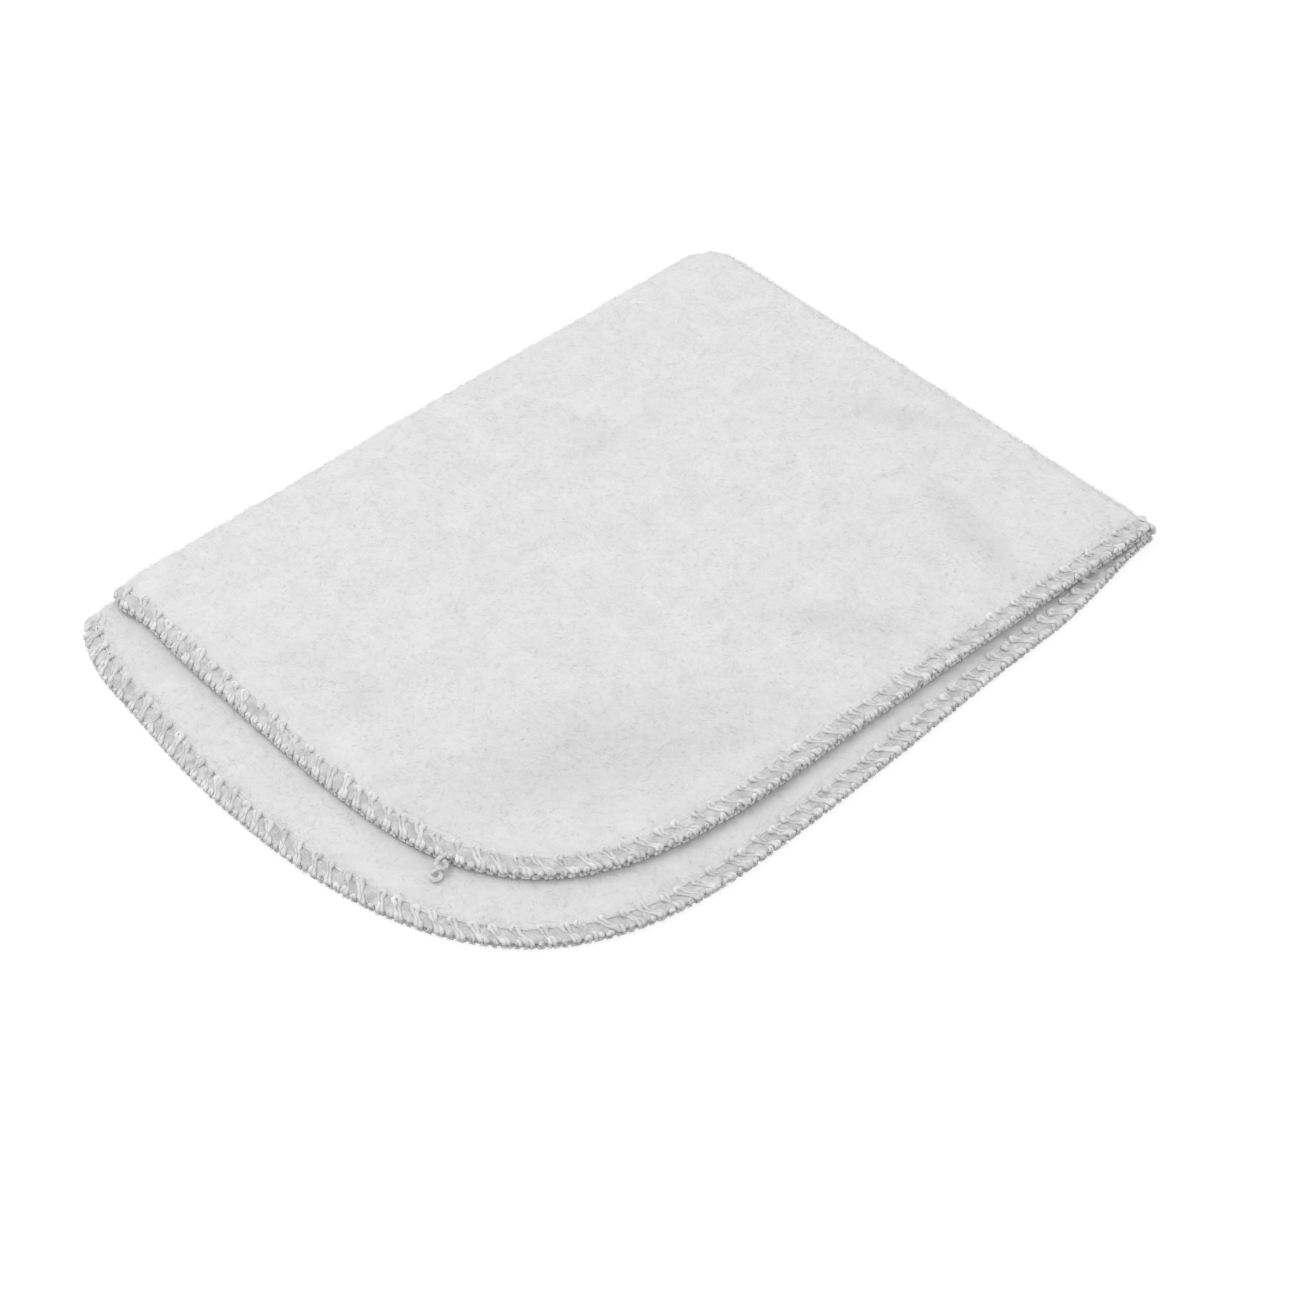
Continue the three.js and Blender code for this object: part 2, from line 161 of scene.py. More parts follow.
def smoothstep(x, low, high):
    t = np.clip((x - low) / (high - low), 0, 1)
    return t * t * (3 - 2 * t)


def arc_of(points):
    """How far along their line each of the points is."""
    return np.concatenate([[0], np.cumsum(np.linalg.norm(np.diff(points, axis=0), axis=1))])


def rows_at(at, places, rows):
    """Rows of numbers that belong to places, interpolated at others."""
    return np.stack([np.interp(at, places, column) for column in rows.T], -1)


def curve_between(a, b, c, d, t):
    """A smooth curve from b to c as t goes from 0 to 1, with a before them and d after them."""
    return (2 * b + (c - a) * t + (2 * a - 5 * b + 4 * c - d) * t ** 2
            + (3 * b - a - 3 * c + d) * t ** 3) / 2


class Edge:
    """The outer edge of a pair of layers in plan, by share of its length from the first fold."""

    def __init__(self, pair, side):
        width, depth = pair["full_width"], pair["front_depth"]
        at, reach, tip = pair["full_width_depth"], pair["front_reach"], pair["tip_width"]
        corner_depth, corner_width = depth - at, width - reach
        curves = [
            [(-tip, 0), (-tip, -at * pair["tip_handle_share"]),
             (-width, -at * (1 - pair["side_handle_share"])), (-width, -at)],
            [(-width, -at), (-width, -at - corner_depth * pair["corner_side_handle_share"]),
             (-reach - corner_width * pair["corner_front_handle_share"], -depth), (-reach, -depth)],
            [(-reach, -depth), (-reach * (1 - front_handle_share), -depth),
             (-reach * fold_handle_share, -fold_depth), (-side_gap, -fold_depth)],
        ]
        t = np.linspace(0, 1, curve_points)[:, None]
        points = []
        for a, b, c, d in np.array(curves, float):
            points.append((1 - t) ** 3 * a + 3 * (1 - t) ** 2 * t * b + 3 * (1 - t) * t * t * c + t ** 3 * d)
        points = np.concatenate([points[0], points[1][1:], points[2][1:]])
        front_start = 2 * curve_points - 2
        beside, front = points[:front_start + 1], points[front_start:]
        for swell, from_fold, spread in side_swells[side]:
            beside[:, 0] -= swell * np.exp(-((beside[:, 1] + from_fold) / spread) ** 2)
        for swell, from_fold, spread in front_swells[side]:
            near = np.exp(-((front[:, 0] + from_fold) / spread) ** 2)
            near = near * smoothstep(-front[:, 0], 0, from_fold / 2)
            front[:, 1] -= swell * near
        self.arc = arc_of(points)
        self.length = self.arc[-1]
        self.points = points
        self.tangents = unit(np.gradient(points, self.arc, axis=0))

    def at(self, share, inset=0.0):
        """Points in plan at shares of the length, moved inwards, and the inward directions."""
        along = np.clip(share, 0, 1) * self.length
        tangent = unit(rows_at(along, self.arc, self.tangents))
        inward = np.stack([-tangent[..., 1], tangent[..., 0]], -1)
        return rows_at(along, self.arc, self.points) + inward * inset, inward

    def inset_of(self, plan):
        """The distance from the edge of points in plan."""
        flat = plan.reshape(-1, 2)
        found = np.empty(len(flat))
        chunk = 4000
        for start in range(0, len(flat), chunk):
            apart = flat[start:start + chunk, None] - self.points[None, ::edge_stride]
            found[start:start + chunk] = np.sqrt((apart ** 2).sum(-1).min(1))
        return found.reshape(plan.shape[:-1])


edges = {-1: Edge(lower_pair, -1), 1: Edge(upper_pair, 1)}
upper_edge = edges[1]
noise_points = 512         # along each side of a noise's lattice
noise_start = 300.0        # the lattice's place at the origin of the fold coordinates


class PlanNoise:
    """Smooth noise in plan: random values on a lattice, between -1 and 1, eased between its points."""

    def __init__(self, cell):
        self.cell = cell
        self.values = rng.uniform(-1, 1, (noise_points, noise_points))

    def at(self, i, j):
        return self.values[i % noise_points, j % noise_points]

    def __call__(self, x, y):
        u, v = x / self.cell + noise_start, y / self.cell + noise_start
        i, j = np.floor(u).astype(int), np.floor(v).astype(int)
        a, b = smoothstep(u - i, 0, 1), smoothstep(v - j, 0, 1)
        near = self.at(i, j) * (1 - a) + self.at(i + 1, j) * a
        far = self.at(i, j + 1) * (1 - a) + self.at(i + 1, j + 1) * a
        return near * (1 - b) + far * b


def billow(x, y):
    total = np.zeros(np.broadcast(x, y).shape)
    for width, depth, spread, height in billow_shares:
        across = x + width * upper_pair["full_width"]
        down = y + depth * upper_pair["front_depth"]
        total += height * np.exp(-(across ** 2 + down ** 2) / (spread * billow_spread) ** 2)
    return smoothstep(-x, 0, rest_width) * total * billow_height


def droop(side, plan, angle):
    """How far the top layer of a pair sinks towards its edge."""
    depth, width = droops[side]
    near_edge = 1 - smoothstep(edges[side].inset_of(plan), 0, width)
    on_top = (1 + side * np.cos(angle)) / 2
    return depth * on_top * near_edge * smoothstep(-plan[..., 0], 0, rest_width)


def dent_depth(x, y):
    total = np.zeros(np.broadcast(x, y).shape)
    for place_x, place_y, long, wide, degrees, depth, _ in dents:
        turn = math.radians(degrees)
        along = (x - place_x) * math.cos(turn) + (y - place_y) * math.sin(turn)
        across = (y - place_y) * math.cos(turn) - (x - place_x) * math.sin(turn)
        total += depth * np.exp(-((along / long) ** 2 + (across / wide) ** 2))
    return total


def drawn_in(from_side, from_fold, radius):
    """How far a place moves off each of a corner's two sides, so that the corner is round."""
    a, b = np.broadcast_arrays(np.maximum(from_side, 0), np.maximum(from_fold, 0))
    near, far = np.minimum(a, b), np.maximum(a, b)
    arc = np.maximum(radius - near, 1e-6)
    left = 1 - (far - near) / arc
    turn = math.pi / 4 * np.clip(left, 0, 1)
    near_move = np.where(left > 0, radius - arc * np.cos(turn) - near, 0)
    far_move = np.where(left > 0, radius - arc * np.sin(turn) - far, 0)
    return np.where(a <= b, near_move, far_move), np.where(a <= b, far_move, near_move)


def first_fold(angle):
    """How far a point goes past y = 0 and from the hinge, and the same of its inward direction.

    The angle round the first fold is 0 in the outer layer and pi in the inner."""
    sine, cosine = np.sin(angle), np.cos(angle)
    return fold_radius * sine, fold_middle + fold_radius * cosine, -sine, -cosine


def on_half(side, plan, angle):
    """Points on the middle of the cloth, and their directions to the face inside the first fold."""
    past, distance, rise_y, rise_out = first_fold(angle)
    x, y = plan[..., 0], plan[..., 1] + past
    lift = billow(x, y) if side > 0 else 0.0
    z = hinge_height + side * (distance + lift) - droop(side, plan, angle)
    from_tip = x - edges[side].points[0, 0]
    corner_x, corner_y = drawn_in(-x, -y, corner_radius)
    tip_x, tip_y = drawn_in(from_tip, -y, tip_radius)
    point = np.stack([x - corner_x + tip_x, y - corner_y - tip_y, z], -1)
    rise = np.broadcast_arrays(np.zeros_like(x), rise_y, side * rise_out)
    return point, np.stack(rise, -1)


def on_turn(y, angle, turn_angle):
    """The same where the cloth turns round the second fold."""
    past, distance, rise_y, rise_out = first_fold(angle)
    distance, rise_y, rise_out, y, turn_angle = np.broadcast_arrays(
        distance, rise_y, rise_out, y + past, turn_angle)
    cosine, sine = np.cos(turn_angle), np.sin(turn_angle)
    corner_x, corner_y = drawn_in(0.0, -y, corner_radius)
    point = np.stack([distance * cosine - corner_x, y - corner_y, hinge_height + distance * sine], -1)
    return point, np.stack([rise_out * cosine, rise_y, rise_out * sine], -1)


def layer_plan(edge, column_share, depth_share):
    """The plan of a layer: a blend of its four sides, rows by depth and columns by width."""
    c, d = column_share[None, :, None], depth_share[:, None, None]
    side = edge.at(depth_share * corner_mid_share, nap_inset)[0][:, None]
    front = edge.at(1 - column_share * (1 - corner_mid_share), nap_inset)[0][None]
    tip, corner, fold_end = edge.at([0.0, corner_mid_share, 1.0], nap_inset)[0]
    start = np.array([fold_end[0], tip[1]])
    on_first = start + (tip - start) * c
    on_second = start + (fold_end - start) * d
    corners = (start * (1 - c) + tip * c) * (1 - d) + (fold_end * (1 - c) + corner * c) * d
    return on_first * (1 - d) + front * d + on_second * (1 - c) + side * c - corners


def mesh_object(name, points, faces):
    """A smooth object from points and groups of faces, each group with one number of corners."""
    mesh = bpy.data.meshes.new(name)
    points = np.asarray(points, np.float32)
    mesh.vertices.add(len(points))
    mesh.vertices.foreach_set("co", points.ravel())
    sizes = np.concatenate([np.full(len(group), group.shape[1]) for group in faces])
    corners = np.concatenate([np.asarray(group, np.int32).ravel() for group in faces])
    mesh.loops.add(len(corners))
    mesh.loops.foreach_set("vertex_index", corners)
    mesh.polygons.add(len(sizes))
    mesh.polygons.foreach_set("loop_start", (np.cumsum(sizes) - sizes).astype(np.int32))
    mesh.polygons.foreach_set("use_smooth", np.ones(len(sizes), bool))
    mesh.update(calc_edges=True)
    mesh.validate()
    obj = bpy.data.objects.new(name, mesh)
    bpy.context.collection.objects.link(obj)
    return obj


def outward(points, quads):
    """The quads, turned round if they face into the solid."""
    a, b, c, d = (points[quads[:, k]] for k in range(4))
    volume = (np.cross(a, b) * c).sum() + (np.cross(a, c) * d).sum()
    return quads if volume > 0 else quads[:, ::-1]


# The whole sheet as one grid: rows from the outer layer's front edge, round the first fold, to the
# inner layer's front edge; columns from the lower half's side edge, round the second fold, to the
# upper half's side edge
layer_rows = round(fold_depth / cloth_step)
depth = np.linspace(1, 0, layer_rows + 1)
row_depth = np.concatenate([depth, np.zeros(fold_steps - 1), depth[::-1]])
row_angle = np.concatenate([
    np.zeros(layer_rows), np.linspace(0, math.pi, fold_steps + 1), np.full(layer_rows, math.pi),
])
width_share = {
    -1: np.linspace(1, 0, round(lower_pair["full_width"] / cloth_step) + 1),
    1: np.linspace(0, 1, round(upper_pair["full_width"] / cloth_step) + 1),
}
turn_angles = np.linspace(-math.pi / 2, math.pi / 2, turn_steps + 1)
lower_count = len(width_share[-1])
upper_start = lower_count + turn_steps + 1
mottle_noises = [(PlanNoise(11.0), 0.25), (PlanNoise(5.0), 0.35), (PlanNoise(2.4), 0.4)]
mottle_height = 0.2


def mottle(x, y):
    """The nap's soft unevenness, from -1 to 0."""
    return 0.5 * sum(noise(x, y) * share for noise, share in mottle_noises) - 0.5


def half_thickness(inset):
    """Half the cloth's thickness at an inset from the edge."""
    drawn = smoothstep(inset, overlock_width, overlock_width + draw_width) ** draw_power
    pressed = pressed_thickness + (cloth_thickness - pressed_thickness) * drawn
    rounded = np.clip((inset - cut_inset) / roll_width, 0, 1)
    seam = cut_thickness + (seam_thickness - cut_thickness) * np.sqrt(rounded * (2 - rounded))
    seam = seam - (seam_thickness - pressed_thickness) * smoothstep(inset, swell_end, overlock_width)
    return np.where(inset > overlock_width, pressed, seam) / 2


def flannel_arrays():
    """The sheet's middle, its directions to the inner face, its insets and its places in plan."""
    angle = row_angle[:, None]
    parts = []
    for side, edge in edges.items():
        plan = layer_plan(edge, width_share[side], row_depth)
        point, rise = on_half(side, plan, angle)
        parts.append((point, rise, edge.inset_of(plan), plan))
    y = (nap_inset - fold_depth) * row_depth[:, None]
    point, rise = on_turn(y, angle, turn_angles[None, :])
    inset = np.broadcast_to(fold_depth + y, point.shape[:2])
    plan = np.stack([point[..., 0] + 2 * (point[..., 2] - hinge_height), point[..., 1]], -1)
    turn = (point, rise, inset, plan)
    return [np.concatenate([parts[0][k], turn[k], parts[1][k]], 1) for k in range(4)]


def rim_loop(row_count, column_count):
    """The grid's border nodes in order, as rows and columns."""
    r, c = row_count - 1, column_count - 1
    nodes = [(0, k) for k in range(c + 1)] + [(k, c) for k in range(1, r + 1)]
    nodes += [(r, k) for k in range(c - 1, -1, -1)] + [(k, 0) for k in range(r - 1, 0, -1)]
    return np.array(nodes)


def rim_points(nodes, inset):
    """The border nodes' places at an inset from the edge, and their directions to the inner face."""
    rows, columns = nodes[:, 0], nodes[:, 1]
    column_share = np.concatenate([width_share[-1], np.zeros(turn_steps + 1), width_share[1]])
    turn_angle = np.concatenate([np.zeros(lower_count), turn_angles, np.zeros(len(width_share[1]))])
    front = (rows == 0) | (rows == len(row_depth) - 1)
    share = np.where(front, 1 - column_share[columns] * (1 - corner_mid_share),
                     row_depth[rows] * corner_mid_share)
    angle = row_angle[rows]
    point, rise = on_turn(np.full(len(nodes), inset - fold_depth), angle, turn_angle[columns])
    for side, mask in ((-1, columns < lower_count), (1, columns >= upper_start)):
        point[mask], rise[mask] = on_half(side, edges[side].at(share[mask], inset)[0], angle[mask])
    return point, rise


def strip(first, second):
    """Quads that join two closed rows of nodes."""
    return np.stack([np.roll(first, -1), first, second, np.roll(second, -1)], -1)


def make_flannel():
    """The sheet as one closed mesh, and its outer face as a grid with its directions outwards."""
    point, rise, inset, plan = flannel_arrays()
    half = half_thickness(inset)[..., None]
    uneven = mottle(plan[..., 0], plan[..., 1]) * mottle_height
    top = plan[:layer_rows, upper_start:]
    dented = np.zeros(inset.shape)
    dented[:layer_rows, upper_start:] = dent_depth(top[..., 0], top[..., 1])
    face = point - rise * (half + (uneven - dented)[..., None])
    back = point + rise * half
    grid = np.arange(inset.size).reshape(inset.shape)
    quads = np.stack([grid[:-1, :-1], grid[:-1, 1:], grid[1:, 1:], grid[1:, :-1]], -1).reshape(-1, 4)
    total = grid.size
    points = [face.reshape(-1, 3), back.reshape(-1, 3)]
    faces = [quads, quads[:, ::-1] + total]
    nodes = rim_loop(*grid.shape)
    inner = grid[nodes[:, 0], nodes[:, 1]]
    inner_back = inner + total
    count = 2 * total
    for ring_inset in rim_insets:
        ring, ring_rise = rim_points(nodes, ring_inset)
        half = half_thickness(np.array(ring_inset))
        points += [ring - ring_rise * half, ring + ring_rise * half]
        outer = count + np.arange(len(nodes))
        outer_back = outer + len(nodes)
        count += 2 * len(nodes)
        faces += [strip(inner, outer), strip(outer_back, inner_back)]
        inner, inner_back = outer, outer_back
    faces.append(strip(inner, inner_back))
    points = np.concatenate(points)
    obj = mesh_object("flannel_sheet", to_row(points), [outward(points, np.concatenate(faces))])
    # The seam's faces take a darker grey, painted shade between the threads
    seam_rings = sum(ring_inset < overlock_width for ring_inset in rim_insets)
    seam_faces = len(nodes) * (2 * seam_rings + 1)
    part = np.zeros(len(obj.data.polygons), np.int32)
    part[-seam_faces:] = 1
    for look in (flannel_look, seam_shade_look):
        obj.data.materials.append(look)
    obj.data.polygons.foreach_set("material_index", part)
    return obj, face, -rise, plan


# The closed path of the edge round the whole cloth: its outside, at the middle of the cloth, the
# direction into the cloth and out of its outer face, and the room for a thread on that face
path_step = 0.35
tip_steps = 13             # round each end of the first fold
inner_turn_steps = 11      # round the second fold, in each of its layers
outer_turn_steps = 29
room_at = {
    "lower_outer": 0.54, "lower_tip": 0.66, "lower_inner": 0.68, "inner_turn": 0.52,
    "upper_inner": 0.56, "upper_tip": 0.7, "upper_outer": 0.9, "outer_turn": 0.8,
}
uncovered_room = 0.3       # more of it where the upper pair leaves the lower uncovered
uncovered_width = 5.0
back_room = 0.48
lift_room = 0.3            # how much more room than that lets a thread lift off as far as it may


def edge_path():
    points, inwards, faces, rooms = [], [], [], []

    def add(point, inward, face, room):
        points.append(point)
        inwards.append(np.broadcast_to(inward, point.shape))
        faces.append(np.broadcast_to(face, point.shape))
        rooms.append(np.full(len(point), room_at[room]))

    def layer(side, angle, way, room):
        shares = np.linspace(0, 1, round(edges[side].length / path_step))
        plan, inward = edges[side].at(shares[::way])
        point, rise = on_half(side, plan, np.full(len(plan), angle))
        add(point, np.concatenate([inward, np.zeros((len(plan), 1))], 1), -rise, room)
        if room == "lower_inner":
            uncovered = smoothstep(upper_edge.inset_of(plan), 0, uncovered_width)
            rooms[-1] = rooms[-1] + uncovered_room * uncovered

    def tip(side, angles, room):
        plan = np.broadcast_to(edges[side].at(0.0)[0], (len(angles), 2))
        point, rise = on_half(side, plan, angles)
        add(point, np.array([1.0, 0, 0]), -rise, room)

    def turn(angle, start, steps, room):
        turn_angle = np.linspace(start, -start, steps + 1)
        point, rise = on_turn(np.full(steps + 1, -fold_depth), np.full(steps + 1, angle), turn_angle)
        add(point, np.array([0, 1.0, 0]), -rise, room)

    half_turn = np.linspace(0, math.pi, tip_steps + 1)[1:-1]
    layer(-1, 0.0, -1, "lower_outer")
    tip(-1, half_turn, "lower_tip")
    layer(-1, math.pi, 1, "lower_inner")
    turn(math.pi, -math.pi / 2, inner_turn_steps, "inner_turn")
    layer(1, math.pi, -1, "upper_inner")
    tip(1, half_turn[::-1], "upper_tip")
    layer(1, 0.0, 1, "upper_outer")
    turn(0.0, math.pi / 2, outer_turn_steps, "outer_turn")
    arrays = [np.concatenate(x + [x[0][:1]]) for x in (points, inwards, faces, rooms)]
    arc = arc_of(arrays[0])
    keep = np.concatenate([[True], np.diff(arc) > 1e-6])
    return arc[keep], [x[keep] for x in arrays]


path_arc, (path_point, path_inward, path_face, path_room) = edge_path()

# The stitches are counted along the path, and spread where the edge curves outwards
bend_reach = 20            # over how many points of the path on either side its bend is averaged
most_spread = 0.22
bend = np.linalg.norm(np.gradient(path_inward, path_arc, axis=0), axis=1)
bend = np.concatenate([bend[-bend_reach:], bend, bend[:bend_reach]])
window = 2 * bend_reach + 1
bend = np.convolve(bend, np.full(window, 1 / window), "valid")
local_pitch = base_pitch * (1 + np.clip(pitch_growth * bend, 0, most_spread))
path_stitch = np.concatenate([[0], np.cumsum(np.diff(path_arc) / local_pitch[1:])])
stitch_count = round(path_stitch[-1])
path_stitch *= stitch_count / path_stitch[-1]


def on_path(stitch):
    """The edge's point, inward and face directions, and room for threads, at places in stitches."""
    stitch = stitch % stitch_count
    point, inward, face = (rows_at(stitch, path_stitch, x) for x in (path_point, path_inward, path_face))
    return point, unit(inward), unit(face), np.interp(stitch, path_stitch, path_room)


def on_seam(stitch, across, lift):
    """Places on the seam: across it from the cut edge, positive on the outer face, and lifted off it.

    Returns the points, their directions off the cloth, and half the height of a thread that fits."""
    point, inward, face, room = on_path(stitch)
    angle = np.clip(across / roll_length, -1, 1) * math.pi / 2
    past = np.maximum(np.abs(across) - roll_length, 0)
    space = np.where(across > 0, room, back_room)
    bed = pressed_thickness / 2
    height = (space + bed) / 2 * np.sin(angle)
    inset = edge_room + roll_width * (1 - np.cos(angle)) + past
    normal = face * np.sin(angle)[:, None] - inward * np.cos(angle)[:, None]
    lift = np.where(lift > 0, lift * np.clip((space - back_room) / lift_room, 0, 1), lift)
    place = point + inward * inset[:, None] + face * height[:, None] + normal * lift[:, None]
    return place, normal, (space - bed) / 2


def smooth_loop(controls):
    """A closed smooth curve through control rows, whose first column grows by stitch_count a round."""
    shift = np.zeros((1, controls.shape[1]))
    shift[0, 0] = stitch_count
    rows = np.concatenate([controls[-1:] - shift, controls, controls[:2] + shift])
    t = (np.arange(curve_steps) / curve_steps)[None, :, None]
    curve = curve_between(rows[:-3, None], rows[1:-2, None], rows[2:-1, None], rows[3:, None], t)
    return curve.reshape(-1, controls.shape[1])


# A stitch of each thread, as rows of place along the edge in stitches, place across the seam as a
# share of its width, lift, how the row leans, 0 at the edge and 1 at the needle line, and fullness.
# The upper looper's two limbs lie side by side, swell at both ends and run on under the edge, and the
# lower looper's loop comes over the edge between them, as a bead.
upper_stitch = [
    (0.0, 0.04, 0.06, 0.0, 1.05), (0.0, 0.24, 0.1, 0.1, 1.15), (0.02, 0.5, 0.0, 0.5, 0.85),
    (0.02, 0.78, 0.06, 0.8, 1.1), (0.01, 0.98, 0.18, 1.0, 1.35), (0.1, 1.06, 0.16, 1.0, 1.3),
    (0.2, 0.98, 0.18, 1.0, 1.35), (0.19, 0.78, 0.06, 0.8, 1.1), (0.18, 0.5, 0.0, 0.5, 0.85),
    (0.19, 0.24, 0.1, 0.1, 1.15), (0.19, 0.04, 0.06, 0.0, 1.05), (0.24, -0.36, 0.0, 0.0, 0.7),
    (0.48, -0.6, 0.0, 0.0, 0.7), (0.76, -0.6, 0.0, 0.0, 0.7), (0.96, -0.36, 0.0, 0.0, 0.7),
]
lower_stitch = [
    (0.54, -0.18, 0.0, 0.0, 0.8), (0.56, 0.06, 0.04, 0.0, 1.0), (0.62, 0.2, 0.1, 0.0, 1.15),
    (0.68, 0.06, 0.04, 0.0, 1.0), (0.7, -0.18, 0.0, 0.0, 0.8), (0.74, -0.4, 0.0, 0.3, 1.0),
    (0.74, -0.7, 0.0, 0.7, 1.3), (0.63, -1.0, 0.0, 1.0, 1.3), (0.52, -0.7, 0.0, 0.7, 1.3),
    (0.56, -0.54, 0.0, 0.3, 0.9), (0.75, -0.5, 0.0, 0.0, 0.7), (1.1, -0.5, 0.0, 0.0, 0.7),
    (1.4, -0.44, 0.0, 0.0, 0.7),
]
needle_stitch = [
    (0.0, 1.06, -0.6, 1.0, 1.0), (0.1, 1.07, -0.36, 1.0, 1.0), (0.3, 1.08, -0.24, 1.0, 1.0),
    (0.5, 1.08, -0.22, 1.0, 1.0), (0.7, 1.08, -0.24, 1.0, 1.0), (0.9, 1.07, -0.36, 1.0, 1.0),
]
stitch_lean = -0.62        # in stitches, from the edge to the needle line
edge_room = 0.25           # from the outside of the edge to the middle of a thread there
lean_jitter = 0.18         # in stitches
reach_jitter = 0.10        # a share, as is full_jitter
lift_jitter = 0.02
full_jitter = 0.2
most_sunk = 0.42           # how far the middle of a stitch may sink into the cloth
least_sunk = 0.45          # the share of that by which it sinks at least
least_full = 0.5           # how much narrower it may be there
least_height = 0.01        # of threads and fibres over the surface that the cloth rests on
# Each thread's stitch, how far its rows stray along and across, its half width and its loose fibres
threads = {
    "upper_looper": (upper_stitch, 0.05, 0.05, 0.45, 9000),
    "lower_looper": (lower_stitch, 0.06, 0.06, 0.34, 6000),
    "needle_thread": (needle_stitch, 0.02, 0.015, 0.17, 1500),
}
curve_steps = 3
ply_count = 2
twist_length = 2.6
yarn_sides = 10
lobe_share = 0.14


def jitter(shape, most):
    return rng.uniform(-1, 1, shape) * most


def thread_route(stitch, along_jitter, across_jitter, half_width):
    """A thread's points, directions off the cloth, half widths, half heights and bodies."""
    rows = np.array(stitch)
    each, shape = (stitch_count, 1), (stitch_count, len(rows))
    lean = stitch_lean + jitter(each, lean_jitter)
    reach = 1 + jitter(each, reach_jitter)
    sunk = rng.uniform(least_sunk, 1, each) * 4 * rows[:, 3] * (1 - rows[:, 3])
    along = np.arange(stitch_count)[:, None] + rows[:, 0] + lean * rows[:, 3]
    along = along + jitter(shape, along_jitter)
    across = (rows[:, 1] * reach + jitter(shape, across_jitter)) * overlock_width
    lift = rows[:, 2] + jitter(shape, lift_jitter) - most_sunk * sunk
    full = rows[:, 4] * (1 + jitter(shape, full_jitter)) * (1 - (1 - least_full) * sunk)
    controls = np.stack([along, across, lift, full], -1).reshape(-1, 4)
    curve = smooth_loop(controls)
    points, normals, half_height = on_seam(curve[:, 0], curve[:, 1], curve[:, 2])
    wide = half_width * curve[:, 3]
    high = np.minimum(half_height * curve[:, 3], wide)
    return points, normals, wide, high, body_at(on_path(curve[:, 0])[0])


def make_yarn(name, points, normals, wide, high, arc):
    """A twisted yarn along points: a tube whose oval section has a lobe for each ply."""
    tangents = unit(np.gradient(points, axis=0))
    up = unit(normals - tangents * (normals * tangents).sum(-1, keepdims=True))
    side = np.cross(tangents, up)
    theta = 2 * math.pi * np.arange(yarn_sides) / yarn_sides
    twist = 2 * math.pi * arc / twist_length
    reach = 1 + lobe_share * np.cos(ply_count * (theta[None] - twist[:, None]))
    ring = up[:, None] * (high[:, None] * np.sin(theta) * reach)[..., None]
    ring = ring + side[:, None] * (wide[:, None] * np.cos(theta) * reach)[..., None] + points[:, None]
    index = np.arange(len(points) * yarn_sides).reshape(-1, yarn_sides)
    behind, ahead = index[:-1], index[1:]
    quads = np.stack([behind, np.roll(behind, -1, 1), np.roll(ahead, -1, 1), ahead], -1).reshape(-1, 4)
    caps = np.stack([index[0][::-1], index[-1]])
    verts = ring.reshape(-1, 3)
    verts[:, 2] = np.maximum(verts[:, 2], least_height)
    turned = outward(verts, quads)
    if turned[0, 0] != quads[0, 0]:
        caps = caps[:, ::-1]
    return mesh_object(name, to_row(verts), [turned, caps])


def body_at(points):
    """The body that carries each point of the edge, or the turn round the second fold."""
    lower = points[:, 2] < hinge_height
    return np.where(points[:, 0] > -side_gap, "turn", np.where(lower, "lower_half", "upper_half"))


def off_hinge(points):
    """The body that carries each point of the turn, or none where the cloth bends as it opens."""
    above = points[:, 2] - hinge_height
    return np.where(above > split_height, "upper_half", np.where(above < -split_height, "lower_half", ""))


# Fibres: three-sided spikes with a bend
fibre_radius = (0.012, 0.022)
fibre_taper = 0.8          # its radius at the bend, as a share
root_depth = 0.03          # how far under the surface it starts
clump_spread = 0.9         # how far, in radians, its direction strays from its clump's
bend_spread = 0.5          # and its second half's from its first's
fall_range = (-0.5, 0.6)   # how steeply its second half rises, as a share of the first
most_upright = 0.8         # past this rise, a direction's sides are found by X, not Z


def sides_of(axis):
    """Two directions at right angles to each axis and to each other."""
    helper = np.where(np.abs(axis[:, 2:]) < most_upright, [[0, 0, 1.0]], [[1.0, 0, 0]])
    side = unit(np.cross(helper, axis))
    return side, np.cross(axis, side)


def fibre_mesh(roots, first, second, radius):
    """Closed spikes from roots, by a first and a second stretch and a radius at the root."""
    a, b = sides_of(unit(first))
    theta = 2 * math.pi * np.arange(3) / 3
    ring = a[:, None] * np.cos(theta)[:, None] + b[:, None] * np.sin(theta)[:, None]
    ring = ring * radius[:, None, None]
    middle = roots + first
    points = [roots[:, None] + ring, middle[:, None] + ring * fibre_taper, (middle + second)[:, None]]
    points = np.concatenate(points, 1)
    base = np.arange(len(roots))[:, None] * points.shape[1]
    quads = np.concatenate([base + [k, (k + 1) % 3, 3 + (k + 1) % 3, 3 + k] for k in range(3)])
    tips = np.concatenate([base + [3 + k, 3 + (k + 1) % 3, 6] for k in range(3)])
    return points.reshape(-1, 3), [quads, np.concatenate([tips, base + [2, 1, 0]])]


